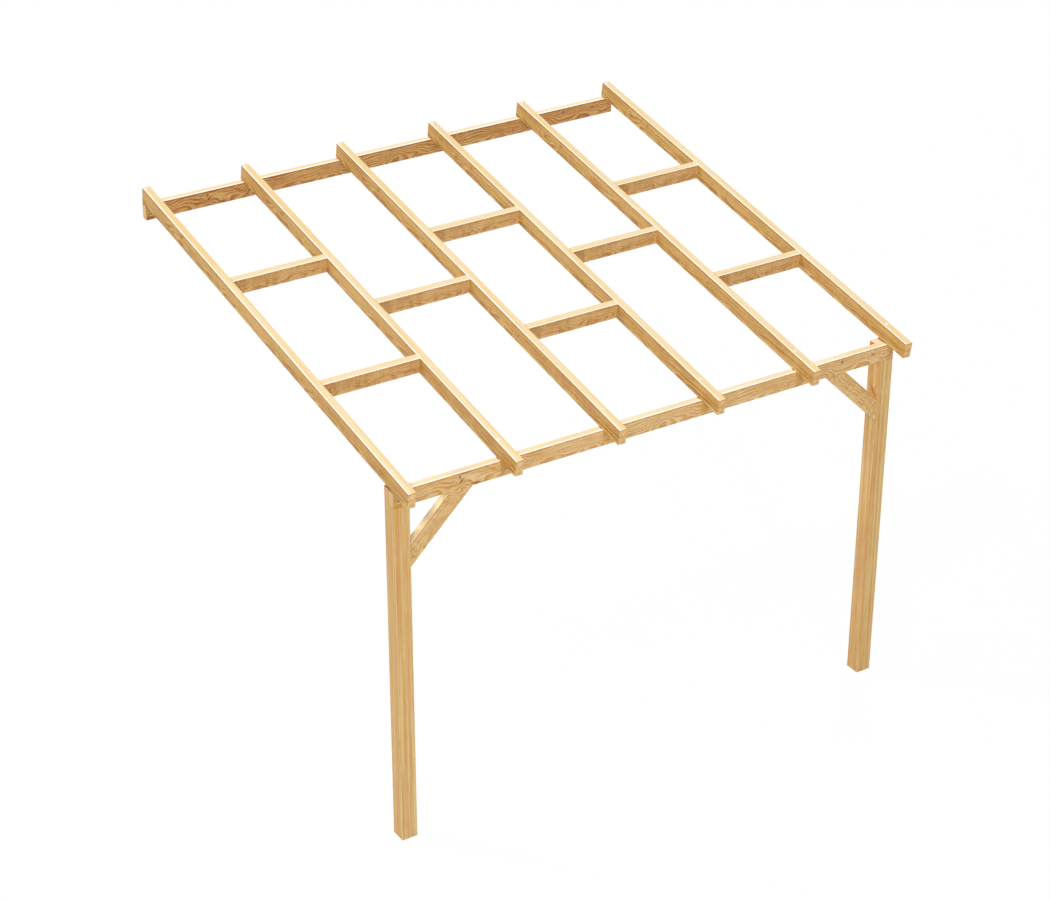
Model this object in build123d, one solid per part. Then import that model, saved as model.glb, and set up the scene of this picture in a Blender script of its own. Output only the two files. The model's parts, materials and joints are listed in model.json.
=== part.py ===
"""Lean-to timber pergola frame: six rafters carried by a wall ledger and a front beam on two posts.

+X runs along the wall, +Y points into the wall and +Z is up. The origin is the middle of the
ledger's back face, which lies against the wall. Sizes are in millimetres and degrees.
"""
from build123d import *
import math
import os

# Rafters, equally spaced and square-cut at both ends
rafter_count = 6
rafter_spacing = 800.0
rafter_width = 60.0
rafter_depth = 120.0
rafter_length = 3950.0
roof_pitch = 9.7
front_overhang = 200.0  # level, from the beam's front face to the rafters' top front corner
seat_depth = 2.0  # level seat cut under each rafter, measured at the front edge of its bearer

# Wall ledger
ledger_thickness = 60.0
ledger_depth = 120.0

# Front beam, let into the posts
beam_thickness = 60.0
beam_depth = 120.0

# Posts, whose height is from the foot to the top of the beam
post_width = 120.0
post_depth = 120.0
post_height = 2760.0

# Knee braces at 45 degrees, whose long edge ends this far from the corner of post and beam
brace_thickness = 60.0
brace_width = 120.0
brace_leg = 470.0

# Noggings between the rafters, placed by their centres down the slope from the rafters' wall ends
nogging_thickness = 60.0
nogging_depth = 120.0
rear_nogging_at = 1330.0
middle_nogging_at = 1970.0
front_nogging_at = 2664.0

# Values that follow from the sizes above
pitch = math.radians(roof_pitch)
half_width = (rafter_count - 1) / 2 * rafter_spacing + rafter_width / 2
ledger_top = ledger_depth / 2
ledger_front = -ledger_thickness
rafter_heel_z = ledger_top - seat_depth - ledger_front * math.tan(pitch)
rafter_top_rear = Vector(0, -rafter_depth * math.sin(pitch), rafter_heel_z + rafter_depth * math.cos(pitch))
beam_front = rafter_top_rear.Y - rafter_length * math.cos(pitch) + front_overhang
beam_top = ledger_top + (beam_front - ledger_front) * math.tan(pitch)
beam_bottom = beam_top - beam_depth
foot_level = beam_top - post_height
clear_span = rafter_spacing - rafter_width

# The plane of the rafters' tops: its local Y climbs towards the wall
roof = Plane(origin=rafter_top_rear, x_dir=(1, 0, 0), z_dir=(0, -math.sin(pitch), math.cos(pitch)))


def rafter_centre(number):
    """X of a rafter's centre, counted from 1 at the left."""
    return (number - 1 - (rafter_count - 1) / 2) * rafter_spacing


def box_between(low, high):
    """A box from its lowest to its highest corner."""
    size = Vector(high) - Vector(low)
    return Pos(Vector(low)) * Box(size.X, size.Y, size.Z, align=(Align.MIN, Align.MIN, Align.MIN))


def wall_ledger():
    """The bearer bolted to the wall."""
    return box_between((-half_width, ledger_front, -ledger_depth / 2), (half_width, 0, ledger_top))


def front_beam():
    """The bearer on the posts, as long as the frame is wide."""
    return box_between((-half_width, beam_front, beam_bottom), (half_width, beam_front + beam_thickness, beam_top))


def post(side):
    """A post with a rebate at its front that holds the beam; side is -1 for left and 1 for right."""
    outer = side * half_width
    inner = side * (half_width - post_width)
    left, right = sorted((outer, inner))
    shaft = box_between((left, beam_front, foot_level), (right, beam_front + post_depth, beam_top))
    return shaft - front_beam()


def brace(side):
    """A knee brace in line with the beam, cut plumb at the post and level under the beam."""
    corner = half_width - post_width
    edge_cut = brace_width * math.sqrt(2)
    outline = Polyline(
        (corner, beam_bottom - brace_leg),
        (corner, beam_bottom - brace_leg + edge_cut),
        (corner - brace_leg + edge_cut, beam_bottom),
        (corner - brace_leg, beam_bottom),
        close=True,
    )
    front = Plane(origin=(0, beam_front, 0), x_dir=(1, 0, 0), z_dir=(0, -1, 0))
    right_brace = extrude(front * make_face(outline), -brace_thickness)
    return right_brace if side > 0 else mirror(right_brace, Plane.YZ)


def rafter(number):
    """A rafter with its level seats cut over the ledger and the beam."""
    bar = roof * Box(
        rafter_width, rafter_length, rafter_depth, align=(Align.CENTER, Align.MAX, Align.MAX)
    )
    return Pos(rafter_centre(number), 0, 0) * bar - wall_ledger() - front_beam()


def nogging(bay, distance):
    """A nogging flush with the rafters' tops; bay 1 lies between rafters 1 and 2."""
    bay_centre = (rafter_centre(bay) + rafter_centre(bay + 1)) / 2
    bar = Box(clear_span, nogging_thickness, nogging_depth, align=(Align.CENTER, Align.CENTER, Align.MAX))
    return roof * Pos(bay_centre, -distance, 0) * bar


pieces = {
    "wall_ledger": wall_ledger(),
    "front_beam": front_beam(),
    "left_post": post(-1),
    "right_post": post(1),
    "left_brace": brace(-1),
    "right_brace": brace(1),
}
for number in range(1, rafter_count + 1):
    pieces[f"rafter_{number}"] = rafter(number)
for bay in range(1, rafter_count):
    # Odd bays have two noggings and even bays one, so that no two meet end to end across a rafter
    if bay % 2:
        pieces[f"nogging_{bay}_rear"] = nogging(bay, rear_nogging_at)
        pieces[f"nogging_{bay}_front"] = nogging(bay, front_nogging_at)
    else:
        pieces[f"nogging_{bay}_middle"] = nogging(bay, middle_nogging_at)

os.makedirs("parts", exist_ok=True)
for name, piece in pieces.items():
    export_step(piece, f"parts/{name}.step")

print("overall width", round(2 * half_width, 1))
print("beam front", round(beam_front, 2), "beam top", round(beam_top, 2), "foot level", round(foot_level, 2))
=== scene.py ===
"""Looks of a lean-to wooden pergola frame: planed pine on laminated posts, held with zinc-plated screws.

Each timber is modelled where its CAD node lies and stands for that node. Lengths are in metres and in
the CAD frame: +X runs along the wall, +Y points into the wall and +Z is up.
"""

import json
import logging
import math
from collections.abc import Callable, Iterator
from contextlib import contextmanager
from dataclasses import dataclass, field
from enum import Enum
from functools import partial

import bmesh
import bpy
from mathutils import Matrix, Quaternion, Vector


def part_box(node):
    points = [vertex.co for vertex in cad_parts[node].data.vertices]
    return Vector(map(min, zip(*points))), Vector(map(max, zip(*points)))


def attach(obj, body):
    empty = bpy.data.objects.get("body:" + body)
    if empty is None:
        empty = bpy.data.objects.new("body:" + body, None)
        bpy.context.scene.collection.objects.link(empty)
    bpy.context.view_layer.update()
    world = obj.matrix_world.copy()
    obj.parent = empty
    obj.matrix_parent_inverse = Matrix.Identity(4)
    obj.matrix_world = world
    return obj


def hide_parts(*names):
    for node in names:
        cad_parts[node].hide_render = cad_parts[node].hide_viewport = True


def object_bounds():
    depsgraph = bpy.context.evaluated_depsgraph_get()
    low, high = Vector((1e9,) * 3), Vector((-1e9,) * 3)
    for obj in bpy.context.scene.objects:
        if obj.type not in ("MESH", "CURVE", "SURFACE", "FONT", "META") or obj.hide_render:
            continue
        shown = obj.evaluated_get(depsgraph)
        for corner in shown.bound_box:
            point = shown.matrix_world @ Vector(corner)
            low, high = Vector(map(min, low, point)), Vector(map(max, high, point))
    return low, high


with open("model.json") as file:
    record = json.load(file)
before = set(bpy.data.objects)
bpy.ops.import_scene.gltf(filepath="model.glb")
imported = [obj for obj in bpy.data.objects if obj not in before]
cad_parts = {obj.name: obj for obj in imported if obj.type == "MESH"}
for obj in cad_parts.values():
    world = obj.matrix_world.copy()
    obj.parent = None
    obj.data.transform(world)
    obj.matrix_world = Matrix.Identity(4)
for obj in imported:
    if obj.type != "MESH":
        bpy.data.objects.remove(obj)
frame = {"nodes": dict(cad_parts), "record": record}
cad_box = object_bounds()
centre = (cad_box[0] + cad_box[1]) / 2

MM = 0.001
UP = Vector((0, 0, 1))
RIGHT = Vector((1, 0, 0))
FORWARD = Vector((0, -1, 0))
BODY = "root"
WHITE = "#ffffff"

# Settings that nodes share
TIMES = {"operation": "MULTIPLY"}
TIMES_PLUS = {"operation": "MULTIPLY_ADD"}
SMOOTH = {"interpolation_type": "SMOOTHSTEP"}
COLOUR = {"data_type": "RGBA"}
TINT = {"data_type": "RGBA", "blend_type": "MULTIPLY"}

Node = bpy.types.Node
log = logging.getLogger("pergola")


# Colours and shader nodes


def linear(colour: str) -> tuple[float, float, float, float]:
    """Turns an sRGB hex colour into the linear colour that a shader takes.

    Args:
        colour: six hex digits after a hash.

    Returns:
        Red, green, blue and an opaque alpha.
    """
    channels = [int(colour[i:i + 2], 16) / 255 for i in (1, 3, 5)]
    red, green, blue = (c / 12.92 if c <= 0.04045 else ((c + 0.055) / 1.055) ** 2.4 for c in channels)
    return red, green, blue, 1.0


def add_node(tree: bpy.types.NodeTree, kind: str, *values: object, **settings: object) -> Node:
    """Adds one node with its settings, its values and its links.

    Args:
        tree: the node tree that the node joins.
        kind: the node's type, such as Math.
        values: what each input in use takes, in order: a value, a hex colour, an output, or a node whose
            first output in use is meant. None leaves an input as it is.
        settings: the node's own properties.

    Returns:
        The new node.
    """
    node = tree.nodes.new("ShaderNode" + kind)
    for name, value in settings.items():
        setattr(node, name, value)
    used = [socket for socket in node.inputs if socket.enabled]
    for socket, value in zip(used, values):
        if isinstance(value, str):
            value = linear(value)
        if isinstance(value, Node):
            value = next(output for output in value.outputs if output.enabled)
        if isinstance(value, bpy.types.NodeSocket):
            tree.links.new(value, socket)
        elif value is not None:
            socket.default_value = value
    return node


def open_nodes(owner: bpy.types.Material | bpy.types.World) -> Callable[..., Node]:
    """Clears the nodes of a material or a world.

    Args:
        owner: the material or the world.

    Returns:
        The function that adds a node to it.
    """
    owner.use_nodes = True
    owner.node_tree.nodes.clear()
    return partial(add_node, owner.node_tree)


# Where timbers lie


@dataclass(frozen=True)
class Place:
    """Where a timber lies: the middle of its starting end, and the ways its length and its depth run."""

    start: Vector
    along: Vector
    up: Vector

    def turn(self) -> Matrix:
        """The rotation from the timber's own length, thickness and depth to the frame's axes."""
        return Matrix((self.along, self.up.cross(self.along), self.up)).transposed()

    def point(self, along: float, across: float = 0.0, up: float = 0.0) -> Vector:
        """The point that lies so far along, across and up from the start."""
        return self.start + self.turn() @ Vector((along, across, up))


@dataclass(frozen=True)
class Mark:
    """A knot, a pitch streak, or a darker or paler patch that goes through a timber's wide faces.

    Its place is measured from the start and from mid-depth, and it reaches so far along and up. Lean
    slants it, heart is its share of knot colour, and tone is how far it darkens the wood. Lift is how
    many rings' width the rings about it are pushed aside, over ring_spread times its size.
    """

    along: float
    up: float
    reach_along: float
    reach_up: float
    heart: float = 0.0
    tone: float = 0.0
    lean: float = 0.0
    lift: float = 0.0
    ring_spread: float = 3.2


@dataclass(frozen=True)
class Grain:
    """The figure of one timber.

    The rings are about three times as wide as real ones, so that they still show from across a garden.
    A tone is how far something darkens the wood: rings, streaks along the trunk, curls across it, a
    dark band under the upper arris, painted shade along the far edge of the top (painted light where the
    tone is below zero), and the painted shadow that the rafters' tails cast on the front.
    """

    pith: tuple[float, float] = (0.09, 0.01)
    ring: float = 9 * MM
    sway: float = 18 * MM
    sway_length: float = 0.5
    ring_tone: float = 0.7
    streak: float = 22 * MM
    streak_tone: float = 1.7
    curl_tone: float = 0.5
    under_arris_tone: float = 0.4
    highlight_share: float = 1.0
    far_shade_tone: float = 0.6
    carries_rafters: bool = False
    rafter_shadow_tone: float = 0.0
    curl: tuple[float, float] = (26 * MM, 70 * MM)
    marks: tuple[Mark, ...] = ()
    seed: float = 0.0


# Finishes


@dataclass(frozen=True)
class PlanedPine:
    """Planed softwood left bare: a dull satin, pale spring wood between honey-brown summer rings.

    The faces that look up have faded to cream, and are painted paler still, painted light from above;
    a painted highlight runs along their near side and along the upper arrises, and painted shade
    along their far side. A band is given by how far from the edge it starts and ends its fade.
    """

    spring: str = "#d2ab65"
    summer: str = "#a36d23"
    pink: str = "#fef8f2"
    knot: str = "#8a5020"
    bleached_and_lit: str = "#f2ddb3"
    bleached_and_lit_rings: str = "#eece91"
    end: str = "#e1c08a"
    end_rings: str = "#bc8336"
    # Painted highlight along the near side of the top, where the rounded arris catches the light
    rim: str = "#fff8f0"
    arris_highlight: str = "#ffe0ae"
    # Painted shade for faces that look up where rafters lie over them
    painted_shade_under_rafters: str = "#94602c"
    edge_grain_and_shade_tint: str = "#dfcbb1"
    glue_line: str = "#dcc6ac"
    highlight_reach: float = 9 * MM
    highlight_fade: float = 6 * MM
    under_arris_band: tuple[float, float] = (12 * MM, 6 * MM)
    far_shade_band: tuple[float, float] = (14 * MM, 6 * MM)
    mean_tone: float = 0.42
    patch_tone: float = 0.5
    fleck_tone: float = 1.0
    fibre_tone: float = 0.2
    boards: int = 1
    board_tone: float = 0.13
    board_shift: tuple[float, float, float] = (1.7, 0.031, 0.047)
    roughness: float = 0.58
    gloss: float = 0.35
    relief: float = 0.3 * MM

    def material(self, timber: "Timber") -> bpy.types.Material:
        """Makes the wood of one timber, with the rings of its own log.

        Args:
            timber: the timber, which turns the log with it.

        Returns:
            The material.
        """
        made = bpy.data.materials.new("pine " + timber.node.replace("_", " "))
        PineNodes(open_nodes(made), timber)
        return made


@dataclass
class PineNodes:
    """The nodes of one timber's wood, added step by step from its log to its surface."""

    add: Callable[..., Node]
    timber: "Timber"

    def __post_init__(self) -> None:
        """Goes through the steps."""
        self.finish, self.grain, self.place = self.timber.finish, self.timber.grain, self.timber.place
        self.read_places()
        self.make_noise()
        if self.finish.boards > 1:
            self.glue_boards()
        else:
            self.darken_under_arris()
        if self.grain.carries_rafters:
            self.paint_rafter_shadows()
        self.put_marks()
        self.grow_rings()
        self.colour_faces()
        self.colour_ends_and_top()
        self.surface()

    def read_places(self) -> None:
        """Finds each place in the frame, on the timber and in the log, and the way that it faces."""
        add = self.add
        where = add("TexCoord")
        self.in_frame, self.facing = where.outputs["Object"], where.outputs["Normal"]
        self.upright = add("SeparateXYZ", self.facing).outputs[2]
        turn = self.place.turn().to_euler()
        self.point = add("Mapping", self.in_frame, self.place.start, turn, vector_type="TEXTURE")
        _, self.across, self.height = add("SeparateXYZ", self.point).outputs
        self.log_point = add("VectorMath", self.point, (0, *self.grain.pith), operation="ADD")

    def make_noise(self) -> None:
        """Makes soft lumps, each with its lengths along, across and up the timber and its detail."""
        streak = self.grain.streak
        curl_length, curl_height = self.grain.curl
        lumps = {
            "bend": (self.grain.sway_length, 0.16, 0.16, 1.5),
            "ripple": (0.07, 0.02, 0.02, 2.0),
            "streaks": (0.9, streak, streak, 2.5),
            "tints": (1.4, 1.7 * streak, 1.7 * streak, 1.0),
            "patches": (0.28, 0.09, 0.09, 1.0),
            "curls": (curl_length, 0.11, curl_height, 2.0),
            "flecks": (0.14, 8 * MM, 8 * MM, 1.0),
            "fibres": (0.12, 5 * MM, 5 * MM, 1.0),
        }
        self.noise = {}
        for number, (lump, (*lengths, detail)) in enumerate(lumps.items()):
            scale = [1 / length for length in lengths]
            scaled = self.add("VectorMath", self.point, scale, **TIMES)
            seed = self.grain.seed + 3.7 * number
            self.noise[lump] = self.add("TexNoise", scaled, seed, 1.0, detail, noise_dimensions="4D")

    def glue_boards(self) -> None:
        """Glues the timber up from boards of other logs, whose rings start somewhere else."""
        add, finish = self.add, self.finish
        # The outer faces lie just inside the outer boards
        per_board = 0.999 * finish.boards / self.timber.thickness
        board = add("Math", self.across, per_board, finish.boards / 2, **TIMES_PLUS)
        number = add("Math", board, operation="FLOOR")
        self.log_point = add("VectorMath", number, finish.board_shift, self.log_point, **TIMES_PLUS)
        self.shade = add("Math", number, finish.board_tone, -finish.board_tone, **TIMES_PLUS)
        part = add("Math", add("Math", board, operation="FRACT"), 0.5, operation="SUBTRACT")
        off_middle = add("Math", part, operation="ABSOLUTE")
        self.glue_line = add("MapRange", off_middle, 0.48, 0.495, **SMOOTH)

    def darken_under_arris(self) -> None:
        """Darkens the wide faces in a band just under the upper arris, a painted dark edge beside the
        arris highlight.
        """
        low, high = (self.timber.depth / 2 - reach for reach in self.finish.under_arris_band)
        under = self.add("MapRange", self.height, low, high, **SMOOTH)
        self.shade = self.add("Math", under, self.grain.under_arris_tone, **TIMES)

    def paint_rafter_shadows(self) -> None:
        """Finds the wood that the evenly spaced rafters cover, and paints the shadow of their tails on
        the front.
        """
        add = self.add
        low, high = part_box("rafter_1")
        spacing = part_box("rafter_2")[0].x - low.x
        width, fade = (high.x - low.x) / spacing, 0.002
        run = add("SeparateXYZ", self.in_frame).outputs[0]
        bays = add("Math", run, 1 / spacing, -low.x / spacing, **TIMES_PLUS)
        bay = add("Math", bays, operation="FRACT")
        self.covered = add("MapRange", bay, width - fade, width, 1.0, 0.0)
        # Painted shadow of the rafters' tails on the front half
        front = add("MapRange", self.across, -10 * MM, 10 * MM, 1.0, 0.0)
        front = add("Math", self.covered, front, **TIMES)
        self.shade = add("Math", front, self.grain.rafter_shadow_tone, self.shade, **TIMES_PLUS)

    def put_marks(self) -> None:
        """Puts in the marks and parts the rings round each, so that they close into longer ovals."""
        add, grain = self.add, self.grain
        # The pith sways from side to side along the trunk, and the rings ripple
        sway = (0, grain.sway * 4, grain.sway * 4)
        bend, ripple = (self.noise[lump].outputs["Color"] for lump in ("bend", "ripple"))
        swayed = add("VectorMath", bend, sway, self.log_point, **TIMES_PLUS)
        flat = add("VectorMath", swayed, (0, 1, 1), **TIMES)
        radius = add("VectorMath", flat, operation="LENGTH")
        radius = add("Math", self.noise["ripple"], grain.ring * 0.7, radius, **TIMES_PLUS)
        wobble = add("VectorMath", ripple, (0.5, 0.5, 0.5), operation="SUBTRACT")
        wobbly = add("VectorMath", wobble, (14 * MM, 0, 10 * MM), self.point, **TIMES_PLUS)
        heart = 0.0
        for mark in grain.marks:
            offset = add("VectorMath", wobbly, (mark.along, 0, mark.up), operation="SUBTRACT")
            slanted = add("VectorRotate", offset, None, mark.lean, rotation_type="Y_AXIS")
            near = []
            for spread in (1.0, mark.ring_spread):
                scale = (1 / (spread * mark.reach_along), 0, 1 / (spread * mark.reach_up))
                shrunk = add("VectorMath", slanted, scale, **TIMES)
                squared = add("VectorMath", shrunk, shrunk, operation="DOT_PRODUCT")
                near.append(add("Math", math.exp(-1), squared, operation="POWER"))
            core, about = near
            heart = add("Math", core, mark.heart, heart, **TIMES_PLUS)
            self.shade = add("Math", core, mark.tone, self.shade, **TIMES_PLUS)
            radius = add("Math", about, mark.lift * grain.ring, radius, **TIMES_PLUS)
        self.radius, self.heart = radius, heart

    def grow_rings(self) -> None:
        """Grows the rings, dark towards their outer side, and finds how dark each place is."""
        add, grain, finish = self.add, self.grain, self.finish
        ring = add("Math", add("Math", self.radius, grain.ring, operation="DIVIDE"), operation="FRACT")
        rise = add("MapRange", ring, 0.1, 0.86, **SMOOTH)
        fall = add("MapRange", ring, 0.88, 1.0, **SMOOTH)
        self.summer = add("Math", rise, fall, operation="SUBTRACT")
        tone = add("Math", self.summer, grain.ring_tone, self.shade, **TIMES_PLUS)
        swings = {
            "streaks": grain.streak_tone, "curls": grain.curl_tone, "flecks": finish.fleck_tone,
            "patches": finish.patch_tone, "fibres": finish.fibre_tone,
        }
        for lump, amount in swings.items():
            tone = add("Math", self.noise[lump], amount, tone, **TIMES_PLUS)
        # Rings average 0.46 and noise 0.5; without them the mean tone is left
        shift = finish.mean_tone - 0.46 * grain.ring_tone - 0.5 * sum(swings.values())
        self.tone = add("Math", tone, shift, operation="ADD", use_clamp=True)

    def colour_faces(self) -> None:
        """Colours the wood from spring to summer colour, with pinker streaks here and there."""
        add, finish = self.add, self.finish
        colour = add("Mix", self.tone, finish.spring, finish.summer, **COLOUR)
        pinkness = add("MapRange", self.noise["tints"], 0.46, 0.6, **SMOOTH)
        self.colour = add("Mix", pinkness, colour, finish.pink, **TINT)
        if finish.boards > 1:
            # The boards' narrow edges, on the post's front and back, are a little browner as edge grain
            # is,
            # and painted darker still: painted shade, so that the front looks no more lit than the sides
            sideways = add("VectorMath", self.facing, self.place.turn().col[1], operation="DOT_PRODUCT")
            sideways = add("Math", sideways, operation="ABSOLUTE")
            narrow = add("MapRange", sideways, 0.75, 0.97, 1.0, 0.0, **SMOOTH)
            self.colour = add("Mix", narrow, self.colour, finish.edge_grain_and_shade_tint, **TINT)

    def bleached_and_lit(self) -> Node:
        """The colour of faces that look up: faded and painted paler, painted light from above.

        Rings and all, with a painted highlight along the near side, and painted shade along the far side
        and where rafters lie over them.

        Returns:
            The colour.
        """
        add, finish, edge = self.add, self.finish, self.timber.thickness / 2
        low, high = (edge - reach for reach in finish.far_shade_band)
        # Painted shade along the far side of the top; a tone below zero paints light there instead
        far = add("MapRange", self.across, low, high, 0.0, self.grain.far_shade_tone, **SMOOTH)
        tone = add("MapRange", self.noise["streaks"], 0.48, 0.62, 0.0, 0.75, **SMOOTH)
        tone = add("Math", self.tone, 0.35, tone, **TIMES_PLUS)
        tone = add("Math", far, tone, operation="ADD", use_clamp=True)
        pale = add("Mix", tone, finish.bleached_and_lit, finish.bleached_and_lit_rings, **COLOUR)
        # A painted highlight along the top's near side
        start = finish.highlight_reach - edge
        end = start + finish.highlight_fade
        rim = add("MapRange", self.across, start, end, self.grain.highlight_share, 0.0, **SMOOTH)
        pale = add("Mix", rim, pale, finish.rim, **COLOUR)
        # Painted shade where rafters lie over the top, dark as the gap under each rafter
        if self.grain.carries_rafters:
            pale = add("Mix", self.covered, pale, finish.painted_shade_under_rafters, **COLOUR)
        return pale

    def colour_ends_and_top(self) -> None:
        """Colours the sawn ends, the faces that look up, the glue lines and the knots, and paints a
        highlight on the upper arrises.
        """
        add, finish = self.add, self.finish
        endwise = add("VectorMath", self.facing, self.place.along, operation="DOT_PRODUCT")
        endwise = add("MapRange", add("Math", endwise, operation="ABSOLUTE"), 0.8, 0.95, **SMOOTH)
        sawn = add("Mix", self.tone, finish.end, finish.end_rings, **COLOUR)
        colour = add("Mix", endwise, self.colour, sawn, **COLOUR)
        # Faces that look up are painted paler: faded wood and painted light from above
        upward = add("MapRange", self.upright, 0.45, 0.65, **SMOOTH)
        colour = add("Mix", upward, colour, self.bleached_and_lit(), **COLOUR)
        if finish.boards > 1:
            colour = add("Mix", self.glue_line, colour, finish.glue_line, **TINT)
        if self.grain.marks:
            knotted = add("Math", self.heart, 1.0, **TIMES, use_clamp=True)
            colour = add("Mix", knotted, colour, finish.knot, **COLOUR)
        # A painted highlight on the arrises that face up
        arris = add("Attribute", attribute_name="arris").outputs["Fac"]
        lit = add("Math", arris, add("MapRange", self.upright, 0.4, 0.7, 0.0, 0.95), **TIMES)
        self.colour = add("Mix", lit, colour, finish.arris_highlight, **COLOUR)

    def surface(self) -> None:
        """Gives the wood its relief and gloss: summer rings stand proud and are a little glossier."""
        add, finish = self.add, self.finish
        proud = add("Math", self.summer, 0.6, self.noise["fibres"], **TIMES_PLUS)
        bump = add("Bump", 0.2, finish.relief, None, proud)
        rough = add("Math", self.summer, -0.08, finish.roughness + 0.03, **TIMES_PLUS)
        shader = add("BsdfPrincipled", self.colour, 0.0, rough, 1.5, None, bump)
        shader.inputs["Specular IOR Level"].default_value = finish.gloss
        add("OutputMaterial", shader)


@dataclass(frozen=True)
class ZincPlate:
    """Zinc plating on pressed steel: a soft metallic sheen with a faint mottle."""

    name: str = "bright zinc plate"
    colour: str = "#f4f5f6"
    shade: str = "#dfe1e4"
    roughness: float = 0.42
    mottle: float = 1.5 * MM

    def material(self) -> bpy.types.Material:
        """Makes the plating.

        Returns:
            The material.
        """
        made = bpy.data.materials.new(self.name)
        add = open_nodes(made)
        spots = add("TexNoise", add("TexCoord").outputs["Object"], 1 / self.mottle, 2.0)
        colour = add("Mix", spots, self.colour, self.shade, **COLOUR)
        rough = add("MapRange", spots, None, None, self.roughness - 0.06, self.roughness + 0.08)
        add("OutputMaterial", add("BsdfPrincipled", colour, 1.0, rough))
        return made


# Modelling


def put_in_scene(name: str, data: bpy.types.ID) -> bpy.types.Object:
    """Puts a mesh, lamp or camera in the scene.

    Args:
        name: the name of its object.
        data: the mesh, lamp or camera.

    Returns:
        The object that holds it.
    """
    obj = bpy.data.objects.new(name, data)
    bpy.context.scene.collection.objects.link(obj)
    return obj


def activate(obj: bpy.types.Object) -> None:
    """Makes an object the active and only selected one.

    Args:
        obj: the object.
    """
    for other in bpy.context.selected_objects:
        other.select_set(False)
    obj.select_set(True)
    bpy.context.view_layer.objects.active = obj


@contextmanager
def editing(obj: bpy.types.Object) -> Iterator[None]:
    """Opens an object in edit mode, and leaves edit mode afterwards.

    Args:
        obj: the object to edit.
    """
    activate(obj)
    bpy.ops.object.mode_set(mode="EDIT")
    yield
    bpy.ops.object.mode_set(mode="OBJECT")


class Part(Enum):
    """The parts of a mesh that can be picked, each with its select mode."""

    VERTS = "VERT"
    EDGES = "EDGE"
    FACES = "FACE"


def pick(part: Part, test: Callable[[object], bool]) -> None:
    """Selects what passes a test in the mesh being edited, and nothing else.

    Args:
        part: whether vertices, edges or faces are picked.
        test: says of one of them whether it is picked.
    """
    bpy.ops.mesh.select_mode(type=part.value)
    bpy.ops.mesh.select_all(action="DESELECT")
    data = bpy.context.edit_object.data
    mesh = bmesh.from_edit_mesh(data)
    for item in getattr(mesh, part.name.lower()):
        if test(item):
            item.select_set(True)
    mesh.select_flush_mode()
    bmesh.update_edit_mesh(data)


def apply_modifier(obj: bpy.types.Object, kind: str, **settings: object) -> None:
    """Adds a modifier to an object and applies it.

    Args:
        obj: the object.
        kind: the modifier's type.
        settings: the modifier's properties.
    """
    activate(obj)
    modifier = obj.modifiers.new(kind.lower(), kind)
    for name, value in settings.items():
        setattr(modifier, name, value)
    bpy.ops.object.modifier_apply(modifier=modifier.name)


def cut_away(obj: bpy.types.Object, cutter: bpy.types.Object) -> None:
    """Cuts the shape of one object out of another, and removes the first."""
    apply_modifier(obj, "BOOLEAN", operation="DIFFERENCE", solver="EXACT", object=cutter)
    bpy.data.objects.remove(cutter)


def start_from(primitive: Callable[..., set], **settings: object) -> bpy.types.Object:
    """Adds a primitive, with its place in its mesh, for shaping or for cutting with.

    Args:
        primitive: the operator that adds it.
        settings: its size and place.

    Returns:
        The object.
    """
    primitive(**settings)
    bpy.ops.object.transform_apply(location=True, rotation=True, scale=True)
    return bpy.context.object


# Screws


class Head(Enum):
    """The screws in use, by head diameter, shank diameter, length and plating."""

    STRUCTURAL = (18 * MM, 8 * MM, 0.180, ZincPlate())
    # The side screws' plating is blue zinc, painted darker: painted shade on heads that face sideways
    TIMBER = (14 * MM, 7 * MM, 0.120, ZincPlate("blue zinc plate", "#7d8794", "#68707c"))


@dataclass(frozen=True)
class Fixing:
    """One screw: its name, the middle of its head on the wood, the way the head faces and its kind."""

    name: str
    at: Vector
    out: Vector
    head: Head


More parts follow.
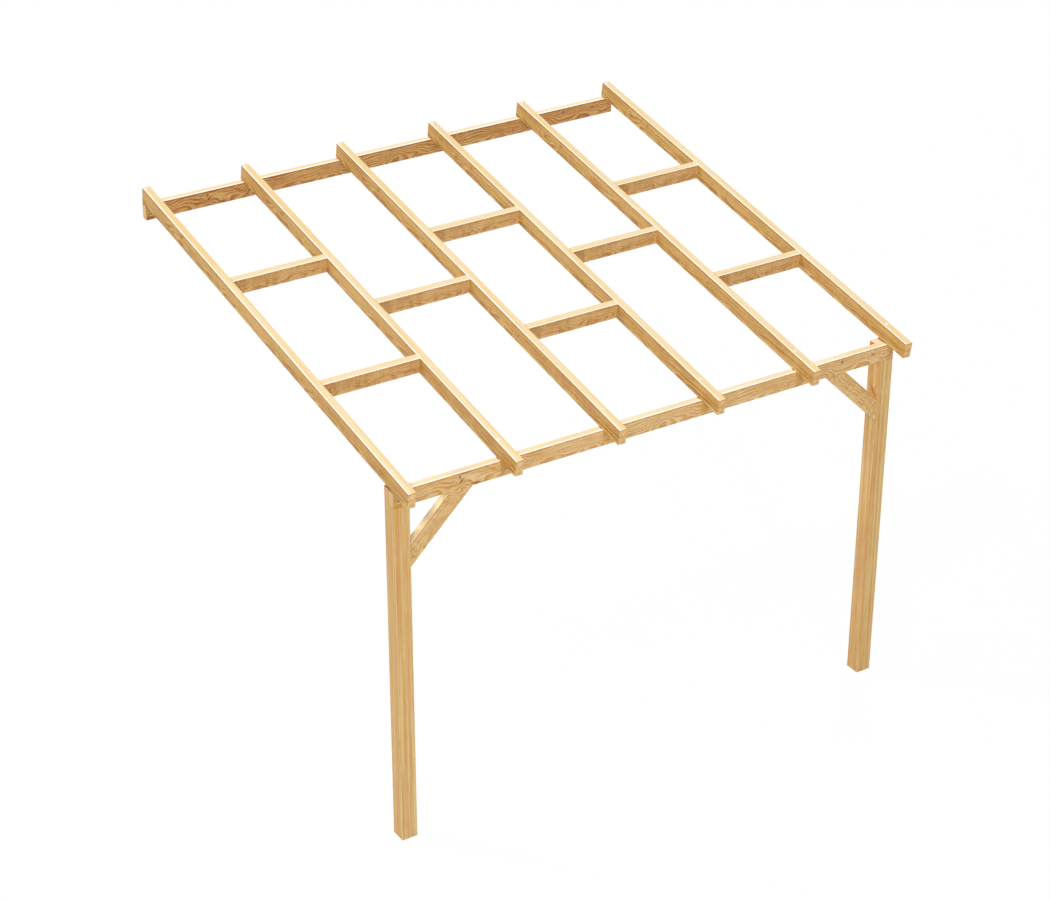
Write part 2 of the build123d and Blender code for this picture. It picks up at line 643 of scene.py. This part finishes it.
@dataclass
class Screws:
    """Countersunk screws with a six-lobed drive, each kind modelled once and copied to its places."""

    sides: int = 24
    sink: float = 0.3 * MM
    pocket_depth: float = 3 * MM
    clearance: float = 0.3 * MM
    drive_share: float = 0.42
    drive_depth: float = 2 * MM
    drive_taper: float = 0.85
    lobe_pinch: float = 0.74
    rim: float = 0.8 * MM
    rim_round: float = 0.3 * MM
    straight_share: float = 0.93
    point_share: float = 0.05
    point_width: float = 0.06

    def model(self, head: Head) -> bpy.types.Object:
        """Models one screw upright at the origin, with the top of its head just under the surface.

        Args:
            head: which screw.

        Returns:
            The screw.
        """
        head_width, shank_width, length, plating = head.value
        radius, shank = head_width / 2, shank_width / 2
        drive = radius * self.drive_share
        obj = start_from(
            bpy.ops.mesh.primitive_cylinder_add, vertices=self.sides, radius=radius, depth=self.rim,
            location=(0, 0, -self.sink - self.rim / 2),
        )
        with editing(obj):
            pick(Part.FACES, lambda face: face.normal.z < -0.9)
            self.draw_down(radius - shank, shank / radius)
            self.draw_down(length * self.straight_share, 1.0)
            self.draw_down(length * self.point_share, self.point_width)
            # The drive, sunk into the middle of the head
            pick(Part.FACES, lambda face: face.normal.z > 0.9)
            bpy.ops.mesh.inset(thickness=radius - drive)
            pick(Part.VERTS, lambda corner: self.between_lobes(corner.co, drive))
            pinch = (self.lobe_pinch, self.lobe_pinch, 1)
            bpy.ops.transform.resize(value=pinch, center_override=(0, 0, 0))
            pick(Part.FACES, lambda face: face.normal.z > 0.9 and len(face.verts) == self.sides)
            self.draw_down(self.drive_depth, self.drive_taper)
            # The rim of the head is slightly rounded
            pick(Part.EDGES, lambda edge: all(self.in_top(corner.co, radius) for corner in edge.verts))
            bpy.ops.mesh.bevel(offset=self.rim_round, segments=2, affect="EDGES")
        activate(obj)
        bpy.ops.object.shade_smooth_by_angle(angle=math.radians(35))
        obj.data.materials.append(plating.material())
        return obj

    def draw_down(self, drop: float, width: float) -> None:
        """Draws the picked faces down, to so many times their width."""
        bpy.ops.mesh.extrude_region_move(TRANSFORM_OT_translate={"value": (0, 0, -drop)})
        bpy.ops.transform.resize(value=(width, width, 1), center_override=(0, 0, 0))

    def in_top(self, corner: Vector, radius: float) -> bool:
        """Whether a corner lies in the top of the head, so far from its middle."""
        return max(abs(corner.z + self.sink), abs(corner.to_2d().length - radius)) < 0.05 * MM

    def between_lobes(self, corner: Vector, drive: float) -> bool:
        """Whether a corner of the drive lies in one of the valleys between its six lobes."""
        turned = math.degrees(math.atan2(corner.y, corner.x)) % 60
        return self.in_top(corner, drive) and abs(turned - 30) < 8

    def pocket(self, fixing: Fixing) -> bpy.types.Object:
        """A cutter for the countersink that a screw's head lies in.

        Args:
            fixing: the screw.

        Returns:
            The cutter.
        """
        above = 2 * MM
        return start_from(
            bpy.ops.mesh.primitive_cylinder_add, vertices=self.sides,
            radius=fixing.head.value[0] / 2 + self.clearance, depth=self.pocket_depth + above,
            location=fixing.at + fixing.out * (above - self.pocket_depth) / 2,
            rotation=UP.rotation_difference(fixing.out).to_euler(),
        )

    def drive_in(self, fixings: list[Fixing]) -> None:
        """Copies a screw to each place.

        Args:
            fixings: the screws.
        """
        models = {head: self.model(head) for head in Head}
        for fixing in fixings:
            model = models[fixing.head]
            screw = put_in_scene(fixing.name, model.data.copy())
            turn = UP.rotation_difference(fixing.out).to_matrix().to_4x4()
            screw.data.transform(Matrix.Translation(fixing.at) @ turn)
            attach(screw, BODY)
            log.info("%s: %d faces", screw.name, len(screw.data.polygons))
        for model in models.values():
            bpy.data.objects.remove(model)


# Timbers


@dataclass
class Timber:
    """One timber with eased arrises, modelled in place of the CAD node that it is named for."""

    node: str
    place: Place
    length: float
    thickness: float
    depth: float
    finish: PlanedPine
    grain: Grain
    slot: str = "planed_pine"
    arris: float = 3.5 * MM
    end_arris: float = 1.0 * MM
    free_ends: bool = True
    fixings: list[Fixing] = field(default_factory=list)
    screws: Screws = field(default_factory=Screws)

    def block(self) -> bpy.types.Object:
        """Adds the sawn block at its size and place.

        Returns:
            The block, with its place in its mesh.
        """
        obj = start_from(
            bpy.ops.mesh.primitive_cube_add, size=1, location=self.place.point(self.length / 2),
            rotation=self.place.turn().to_euler(), scale=(self.length, self.thickness, self.depth),
        )
        obj.name = obj.data.name = f"{self.node}_timber"
        return obj

    def is_arris(self, edge: bmesh.types.BMEdge) -> bool:
        """Whether an edge is a square outer corner that runs the timber's way."""
        run = (edge.verts[1].co - edge.verts[0].co).normalized()
        return abs(run.dot(self.place.along)) > 0.999 and edge.is_convex and edge.calc_face_angle() > 1.0

    def is_free_end(self, face: bmesh.types.BMFace) -> bool:
        """Whether a face is one of the timber's two ends."""
        reach = (face.calc_center_median() - self.place.start).dot(self.place.along)
        return min(abs(reach), abs(reach - self.length)) < MM

    def ease(self, obj: bpy.types.Object) -> None:
        """Rounds the long arrises and takes the sharpness off the free ends.

        Args:
            obj: the timber.
        """
        with editing(obj):
            pick(Part.EDGES, self.is_arris)
            bpy.ops.mesh.bevel(offset=self.arris, segments=3, affect="EDGES")
            mesh = bmesh.from_edit_mesh(obj.data)
            mark = mesh.faces.layers.float.new("arris")
            for face in mesh.faces:
                face[mark] = float(face.select)
            bmesh.update_edit_mesh(obj.data)
            if self.free_ends:
                pick(Part.FACES, self.is_free_end)
                bpy.ops.mesh.region_to_loop()
                bpy.ops.mesh.bevel(offset=self.end_arris, segments=1, affect="EDGES")

    def shape(self, obj: bpy.types.Object) -> None:
        """Cuts the joints; a plain timber has none."""

    def build(self) -> None:
        """Models the timber, cuts its joints and countersinks, and dresses it."""
        obj = self.block()
        self.ease(obj)
        self.shape(obj)
        for fixing in self.fixings:
            cut_away(obj, self.screws.pocket(fixing))
        activate(obj)
        bpy.ops.object.shade_smooth_by_angle(angle=math.radians(40))
        apply_modifier(obj, "WEIGHTED_NORMAL", mode="FACE_AREA", weight=100, keep_sharp=True)
        obj.data.materials.clear()
        obj.data.materials.append(self.finish.material(self))
        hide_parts(self.node)
        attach(obj, BODY)
        log.info("%s: %d faces", obj.name, len(obj.data.polygons))


@dataclass
class Rafter(Timber):
    """A rafter, with a level seat cut into its underside over each bearer."""

    bearers: list[tuple[Vector, Vector]] = field(default_factory=list)

    def shape(self, obj: bpy.types.Object) -> None:
        """Cuts the seats to the bearers' tops.

        Args:
            obj: the rafter.
        """
        for low, high in self.bearers:
            bearer = start_from(
                bpy.ops.mesh.primitive_cube_add, size=1, location=(low + high) / 2, scale=high - low
            )
            cut_away(obj, bearer)


@dataclass
class Post(Timber):
    """A post whose front is let in for the beam, so that a tongue stands up behind it."""

    tongue: float = 0.0
    rebate: float = 0.0

    def block(self) -> bpy.types.Object:
        """Adds the shaft up to the beam, then draws the tongue up from the back half of its top.

        Returns:
            The post, with its place in its mesh.
        """
        full_length = self.length
        self.length = full_length - self.tongue
        obj = super().block()
        self.length = full_length
        shoulder = self.place.point(full_length - self.tongue)
        back_of_beam = self.place.point(0, 0, self.depth / 2 - self.rebate)
        with editing(obj):
            pick(Part.FACES, lambda face: self.is_on_top(face, shoulder))
            bpy.ops.mesh.bisect(plane_co=back_of_beam, plane_no=self.place.up)
            pick(Part.FACES, lambda face: self.is_behind_beam(face, shoulder, back_of_beam))
            bpy.ops.mesh.extrude_region_move(
                TRANSFORM_OT_translate={"value": tuple(self.place.along * self.tongue)}
            )
            bpy.ops.mesh.select_all(action="SELECT")
            bpy.ops.mesh.dissolve_limited(angle_limit=math.radians(1))
        return obj

    def is_on_top(self, face: bmesh.types.BMFace, shoulder: Vector) -> bool:
        """Whether a face is in the shaft's top."""
        return (face.calc_center_median() - shoulder).dot(self.place.along) > -MM

    def is_behind_beam(self, face: bmesh.types.BMFace, shoulder: Vector, back_of_beam: Vector) -> bool:
        """Whether a face is the part of the shaft's top that lies behind the beam."""
        behind = (face.calc_center_median() - back_of_beam).dot(self.place.up) < 0
        return behind and self.is_on_top(face, shoulder)


@dataclass
class Brace(Timber):
    """A knee brace, mitred plumb against its post and level under the beam."""

    corner: Vector = field(default_factory=Vector)
    post_side: Vector = field(default_factory=Vector)

    def shape(self, obj: bpy.types.Object) -> None:
        """Saws both ends to the corner of post and beam.

        Args:
            obj: the brace.
        """
        for outward in (self.post_side, UP):
            with editing(obj):
                bpy.ops.mesh.select_all(action="SELECT")
                bpy.ops.mesh.bisect(
                    plane_co=self.corner, plane_no=outward, use_fill=True, clear_outer=True
                )


# Sub-assemblies


@dataclass
class Bearers:
    """The ledger on the wall and the beam on the posts, flat sawn from the same knotty log."""

    finish: PlanedPine = PlanedPine(
        spring="#dbbc8c", summer="#c08d3b", bleached_and_lit="#f7e8c9", bleached_and_lit_rings="#f7dba7",
        rim="#ffffff", highlight_reach=11 * MM, arris_highlight="#fff4e0",
    )
    ledger_finish: PlanedPine = PlanedPine(
        spring="#cda466", summer="#9e601c", bleached_and_lit="#fadfbb", bleached_and_lit_rings="#fad196",
        rim="#ffffff", highlight_reach=17 * MM, arris_highlight="#f0cf9a",
    )
    marks: tuple[Mark, ...] = (
        Mark(0.497, 0.027, 6 * MM, 14 * MM, heart=1.2, lean=0.35, lift=1.5),
        Mark(0.509, 0.000, 6 * MM, 20 * MM, heart=1.3, lean=-0.85, lift=1.2),
        Mark(0.535, 0.050, 50 * MM, 7 * MM, heart=0.4, tone=0.4),
        Mark(0.595, 0.006, 62 * MM, 22 * MM, tone=-0.9, lean=-0.25, lift=1.6),
        Mark(0.618, -0.046, 28 * MM, 9 * MM, heart=1.2, lift=0.8),
        Mark(0.388, 0.018, 34 * MM, 7 * MM, tone=0.9, lean=-0.3, lift=0.8),
        Mark(0.430, -0.018, 34 * MM, 6 * MM, tone=0.8, lift=0.6),
        Mark(0.740, 0.020, 46 * MM, 9 * MM, tone=0.9, lean=-0.5, lift=1.0),
        Mark(1.053, 0.035, 80 * MM, 18 * MM, tone=0.5, lift=2.2),
        Mark(2.269, -0.050, 14 * MM, 8 * MM, heart=0.6, lift=1.2),
        Mark(3.132, -0.030, 10 * MM, 7 * MM, heart=0.5, lift=1.2),
        Mark(3.603, 0.028, 13 * MM, 9 * MM, heart=1.0, lift=1.6),
        Mark(3.879, 0.018, 13 * MM, 9 * MM, heart=1.0, lift=1.6),
    )

    def build_bearer(
        self, node: str, finish: PlanedPine, fixings: list[Fixing], rafter_shadow_tone: float
    ) -> None:
        """Builds a level bearer.

        Args:
            node: the CAD node that it stands for.
            finish: its wood.
            fixings: the screws in it.
            rafter_shadow_tone: how dark the painted shadow of the rafters' tails on its front is.
        """
        low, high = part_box(node)
        middle = (low + high) / 2
        Timber(
            node=node, place=Place(Vector((low.x, middle.y, middle.z)), RIGHT, UP), length=high.x - low.x,
            thickness=high.y - low.y, depth=high.z - low.z, finish=finish,
            grain=Grain(
                pith=(0.075, 0.010), ring=10 * MM, sway=22 * MM, sway_length=0.30, ring_tone=0.85,
                streak_tone=0.9, curl_tone=0.8, under_arris_tone=1.1, carries_rafters=True,
                rafter_shadow_tone=rafter_shadow_tone, curl=(40 * MM, 40 * MM), marks=self.marks, seed=2.0,
            ),
            fixings=fixings,
        ).build()

    def build(self, beam_fixings: list[Fixing]) -> None:
        """Builds the ledger, and the beam with the screws in it."""
        self.build_bearer("wall_ledger", self.ledger_finish, [], 0.0)
        self.build_bearer("front_beam", self.finish, beam_fixings, 0.4)


@dataclass
class Supports:
    """The two laminated posts and their knee braces, and the screws from the beam into the posts."""

    post_finish: PlanedPine = PlanedPine(
        spring="#f5ecb9", summer="#e7c07c", pink="#fbece6", knot="#b4632f", boards=3,
        bleached_and_lit="#fbe6c4", bleached_and_lit_rings="#f7dba7",
    )
    brace_finish: PlanedPine = PlanedPine(
        spring="#dcba83", summer="#bb8a46", bleached_and_lit="#fceec8", bleached_and_lit_rings="#fce0a4",
        arris_highlight="#e8c898",
    )
    pitch_streak_and_painted_shade: tuple[Mark, ...] = (
        Mark(2.388, 0.012, 44 * MM, 13 * MM, heart=1.1, lean=-0.6, lift=1.5),
        # Painted shade, browner, on the sides of the tongue behind the beam
        Mark(2.728, -0.050, 24 * MM, 40 * MM, heart=0.5, tone=0.8),
    )
    screw_places: tuple[float, float] = (38 * MM, 96 * MM)
    screw_drop: float = 68 * MM
    brace_width: float = 120 * MM

    def beam_fixings(self) -> list[Fixing]:
        """The screws through the beam's front into each post.

        Returns:
            Two screws at each post, placed from the post's left side.
        """
        beam_low, beam_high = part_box("front_beam")
        fixings = []
        for side in ("left", "right"):
            low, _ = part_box(f"{side}_post")
            for number, place in enumerate(self.screw_places, 1):
                at = Vector((low.x + place, beam_low.y, beam_high.z - self.screw_drop))
                fixings.append(Fixing(f"{side}_post_screw_{number}", at, FORWARD, Head.TIMBER))
        return fixings

    def build_post(self, side: str, seed: float, marks: tuple[Mark, ...]) -> None:
        """Builds one post.

        Args:
            side: left or right.
            seed: tells its wood from the other post's.
            marks: its pitch streak and the painted shade on its tongue, where it has them.
        """
        low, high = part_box(f"{side}_post")
        beam_low, beam_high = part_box("front_beam")
        middle = (low + high) / 2
        Post(
            node=f"{side}_post", place=Place(Vector((middle.x, middle.y, low.z)), UP, FORWARD),
            length=high.z - low.z, thickness=high.x - low.x, depth=high.y - low.y,
            finish=self.post_finish,
            grain=Grain(
                pith=(0.31, 0.27), ring=16 * MM, sway=6 * MM, sway_length=1.8, ring_tone=0.5,
                streak=12 * MM, streak_tone=2.5, curl_tone=0.15, highlight_share=0.0, far_shade_tone=0.0,
                carries_rafters=True, marks=marks, seed=seed,
            ),
            slot="laminated_pine", tongue=beam_high.z - beam_low.z, rebate=beam_high.y - beam_low.y,
        ).build()

    def build_brace(self, side: str, post_side: Vector, seed: float) -> None:
        """Builds one knee brace.

        Args:
            side: left or right.
            post_side: the way from the brace to its post.
            seed: tells its wood from the other brace's.
        """
        low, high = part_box(f"{side}_brace")
        corner = Vector((low.x if post_side.x < 0 else high.x, (low.y + high.y) / 2, high.z))
        along = (UP - post_side).normalized()
        leg = high.z - low.z
        edge_cut = self.brace_width * math.sqrt(2)
        middle = corner - (post_side + UP) * (leg - edge_cut / 2) / 2
        length = leg * math.sqrt(2) + self.brace_width
        Brace(
            node=f"{side}_brace",
            place=Place(middle - along * length / 2, along, (UP + post_side).normalized()),
            length=length, thickness=high.y - low.y, depth=self.brace_width, finish=self.brace_finish,
            grain=Grain(
                pith=(0.07, 0.02), ring=10 * MM, sway=22 * MM, sway_length=0.16, ring_tone=0.55,
                # A far tone below zero paints light on the far side of the brace's top
                streak_tone=1.3, curl_tone=1.6, highlight_share=0.0, far_shade_tone=-0.6,
                curl=(24 * MM, 50 * MM), seed=seed,
            ),
            free_ends=False, corner=corner, post_side=post_side,
        ).build()

    def build(self) -> None:
        """Builds both posts and both braces."""
        for side, post_side, seed, marks in (
            ("left", -RIGHT, 20.0, ()), ("right", RIGHT, 31.0, self.pitch_streak_and_painted_shade),
        ):
            self.build_post(side, seed, marks)
            self.build_brace(side, post_side, seed + 5)


@dataclass
class Roof:
    """The rafters and the noggings between them, flush on top, and the screws that hold them.

    The noggings were crosscut from like boards, so the same light and dark patches run through them;
    the paler patch at each right end is painted light, lifting the shade beside the rafter.
    """

    finish: PlanedPine = PlanedPine()
    nogging_finish: PlanedPine = PlanedPine(spring="#d7ad6f", summer="#b17b38", pink="#ffffff")
    nogging_marks: tuple[Mark, ...] = (
        Mark(0.035, 0.000, 46 * MM, 0.200, tone=0.15),
        Mark(0.094, -0.005, 8 * MM, 70 * MM, tone=0.35, lean=0.25),
        Mark(0.128, 0.010, 26 * MM, 0.100, tone=-0.22),
        Mark(0.300, -0.020, 50 * MM, 50 * MM, tone=0.25),
        Mark(0.400, 0.020, 40 * MM, 40 * MM, tone=-0.3),
        Mark(0.580, 0.030, 0.160, 18 * MM, tone=-0.4),
        # Painted light: paler wood at the right end, lifting the shade beside the rafter
        Mark(0.720, 0.000, 50 * MM, 0.200, tone=-0.22),
    )
    rafter_marks: tuple[Mark, ...] = (
        Mark(0.44, -0.008, 24 * MM, 10 * MM, heart=0.6, tone=0.5, lift=1.2),
        Mark(0.66, 0.022, 16 * MM, 8 * MM, heart=0.6, tone=0.3, lift=1.0),
        Mark(1.95, 0.033, 5.00, 14 * MM, tone=-0.17),
    )
    depth: float = 120 * MM
    rear_screw_at: float = 16 * MM
    front_screw_at: float = 3.686
    nogging_screw_drop: float = 62 * MM

    def __post_init__(self) -> None:
        """Finds the roof's slope, and which rafters and noggings there are."""
        top = next(mount for mount in frame["record"]["mounts"] if mount["name"] == "rafter_top")
        self.normal = Vector(top["axis"]).normalized()
        self.downhill = RIGHT.cross(self.normal)
        names = sorted(frame["nodes"])
        self.rafters = [name for name in names if name.startswith("rafter_")]
        self.noggings = [name for name in names if name.startswith("nogging_")]

    def top_edge(self, node: str) -> Vector:
        """The middle of a roof timber's upper edge on the wall side."""
        low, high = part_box(node)
        return Vector(((low.x + high.x) / 2, high.y + self.depth * self.normal.y, high.z))

    def rafter_place(self, node: str) -> Place:
        """A rafter's place, from its wall end down the slope."""
        return Place(self.top_edge(node) - self.normal * self.depth / 2, self.downhill, self.normal)

    def rafter_length(self, node: str) -> float:
        """A rafter's length, from where its front end lies."""
        low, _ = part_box(node)
        return (low.y - self.top_edge(node).y) / self.downhill.y

    def nogging_thickness(self, node: str) -> float:
        """A nogging's thickness, from how deep its box is."""
        low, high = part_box(node)
        return (self.depth * -self.normal.y - (high.y - low.y)) / self.downhill.y

    def nogging_middle(self, node: str) -> Vector:
        """The middle of a nogging's top."""
        return self.top_edge(node) + self.downhill * self.nogging_thickness(node) / 2

    def rafter_fixings(self, number: int) -> list[Fixing]:
        """The screws in one rafter.

        Args:
            number: the rafter's number, from 1 at the left.

        Returns:
            One screw down into each bearer, and one into the end of each nogging that meets the rafter.
        """
        node = f"rafter_{number}"
        place = self.rafter_place(node)
        low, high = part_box(node)
        half_width = (high.x - low.x) / 2
        fixings = []
        for bearer, at in (("ledger", self.rear_screw_at), ("beam", self.front_screw_at)):
            head_at = place.point(at, 0, self.depth / 2)
            fixings.append(Fixing(f"{node}_{bearer}_screw", head_at, self.normal, Head.STRUCTURAL))
        for nogging in self.noggings:
            bay = int(nogging.split("_")[1])
            if number not in (bay, bay + 1):
                continue
            side = -1 if number == bay else 1
            at = (self.nogging_middle(nogging) - place.start).dot(self.downhill)
            head_at = place.point(at, side * half_width, self.depth / 2 - self.nogging_screw_drop)
            name = f"{nogging}_{'left' if side < 0 else 'right'}_screw"
            fixings.append(Fixing(name, head_at, RIGHT * side, Head.TIMBER))
        return fixings

    def build(self) -> list[Fixing]:
        """Builds the rafters and the noggings.

        Returns:
            The screws in them.
        """
        bearers = [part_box("wall_ledger"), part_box("front_beam")]
        fixings = []
        for number, node in enumerate(self.rafters, 1):
            own = self.rafter_fixings(number)
            low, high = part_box(node)
            Rafter(
                node=node, place=self.rafter_place(node), length=self.rafter_length(node),
                thickness=high.x - low.x, depth=self.depth, finish=self.finish,
                grain=Grain(marks=self.rafter_marks, seed=40.0 + number / 7),
                fixings=own, bearers=bearers,
            ).build()
            fixings += own
        for number, node in enumerate(self.noggings):
            low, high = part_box(node)
            middle = self.nogging_middle(node)
            start = Vector((low.x, middle.y, middle.z)) - self.normal * self.depth / 2
            Timber(
                node=node, place=Place(start, RIGHT, self.normal), length=high.x - low.x,
                thickness=self.nogging_thickness(node), depth=self.depth, finish=self.nogging_finish,
                grain=Grain(
                    sway=20 * MM, sway_length=0.24, streak_tone=0.7, curl_tone=1.5, under_arris_tone=0.2,
                    curl=(16 * MM, 50 * MM), marks=self.nogging_marks, seed=60.0 + number / 9,
                ),
                free_ends=False,
            ).build()
        return fixings


# Studio


@dataclass(frozen=True)
class Softbox:
    """A soft lamp, placed by its bearing from the frame's middle and aimed at it."""

    name: str
    bearing: float
    elevation: float
    distance: float
    size: float
    watts: float

    def build(self) -> None:
        """Hangs the lamp."""
        away = direction(self.bearing, self.elevation)
        lamp = bpy.data.lights.new(self.name, "AREA")
        lamp.shape = "DISK"
        lamp.size = self.size
        lamp.energy = self.watts
        obj = put_in_scene(self.name, lamp)
        obj.location = centre + away * self.distance
        obj.rotation_euler = away.to_track_quat("Z", "Y").to_euler()


def direction(bearing: float, elevation: float) -> Vector:
    """The way from the frame's middle to something.

    Args:
        bearing: in degrees, 0 in front of the frame and 90 to its right.
        elevation: in degrees above level.

    Returns:
        A vector of length 1.
    """
    turn, rise = math.radians(bearing), math.radians(elevation)
    return Vector((math.sin(turn) * math.cos(rise), -math.cos(turn) * math.cos(rise), math.sin(rise)))


@dataclass
class Studio:
    """A plain white floor and surroundings, soft lamps and the camera.

    The wall side lamp is small, so that the noggings throw a clear shadow on the rafters' sides.
    """

    lamps: tuple[Softbox, ...] = (
        Softbox("key softbox", -45, 42, 40.0, 18.0, 4800),
        Softbox("overhead softbox", -30, 75, 40.0, 16.0, 3000),
        Softbox("wall side softbox", -135, 46, 40.0, 7.0, 6500),
        Softbox("rear softbox", 135, 15, 40.0, 16.0, 6000),
        Softbox("camera side softbox", -32, 30, 14.0, 6.0, 50),
        Softbox("front lamp", -7, 17, 12.0, 1.0, 190),
    )
    surroundings: float = 0.26
    floor_size: float = 120.0
    glow_share: float = 0.955
    bearing: float = -31.759
    elevation: float = 29.053
    roll: float = 0.044
    distance: float = 19.669
    slide_right: float = 0.0399
    slide_up: float = -0.0903
    lens: float = 91.10

    def seen(self, add: Callable[..., Node]) -> Node:
        """Tells what is seen from what only lights the object.

        Args:
            add: adds a node to the material or world.

        Returns:
            1 where the camera, a gloss or a glass looks, and 0 for the light on the object.
        """
        path = add("LightPath")
        seen = path.outputs["Is Camera Ray"]
        for name in ("Is Glossy Ray", "Is Transmission Ray"):
            seen = add("Math", seen, path.outputs[name], operation="MAXIMUM")
        return seen

    def build_surroundings(self) -> None:
        """Lights the scene evenly from all round, with plain white behind it."""
        world = bpy.data.worlds.new("studio")
        bpy.context.scene.world = world
        add = open_nodes(world)
        lit = add("Background", WHITE, self.surroundings)
        white = add("Background", WHITE, 1.0)
        add("OutputWorld", add("MixShader", self.seen(add), lit, white))

    def build_floor(self) -> None:
        """Lays the floor under the posts' feet, nearly white where it is seen, with a faint shadow."""
        under = Vector((*centre.xy, cad_box[0].z))
        floor = start_from(bpy.ops.mesh.primitive_plane_add, size=self.floor_size, location=under)
        floor.name = "studio_floor"
        material = bpy.data.materials.new("white floor")
        add = open_nodes(material)
        lit = add("BsdfDiffuse", WHITE)
        white = add("Emission", WHITE, 1.0)
        share = add("Math", self.seen(add), self.glow_share, **TIMES)
        add("OutputMaterial", add("MixShader", share, lit, white))
        # The floor only looks bright, so it isn't a lamp
        material.cycles.emission_sampling = "NONE"
        floor.data.materials.append(material)

    def build_camera(self) -> None:
        """Sets up the camera."""
        back = direction(self.bearing, self.elevation)
        right = (-back).cross(UP).normalized()
        up = right.cross(-back)
        aim = centre + right * self.slide_right + up * self.slide_up
        lens = bpy.data.cameras.new("camera")
        lens.lens = self.lens
        lens.sensor_width = 36.0
        lens.clip_end = 200.0
        obj = put_in_scene("camera", lens)
        obj.location = aim + back * self.distance
        level = Matrix((right, up, back)).transposed().to_quaternion()
        obj.rotation_mode = "QUATERNION"
        obj.rotation_quaternion = level @ Quaternion((0, 0, 1), math.radians(self.roll))
        bpy.context.scene.camera = obj

    def build(self) -> None:
        """Sets up the floor, the light and the camera."""
        self.build_surroundings()
        self.build_floor()
        for lamp in self.lamps:
            lamp.build()
        self.build_camera()
        bpy.context.scene.view_settings.view_transform = "Standard"


def main() -> None:
    """Builds the frame and the studio round it."""
    logging.basicConfig(level=logging.INFO, format="%(name)s: %(message)s")
    supports = Supports()
    beam_fixings = supports.beam_fixings()
    Bearers().build(beam_fixings)
    supports.build()
    roof_fixings = Roof().build()
    Screws().drive_in(beam_fixings + roof_fixings)
    Studio().build()


if __name__ == "__main__":
    main()
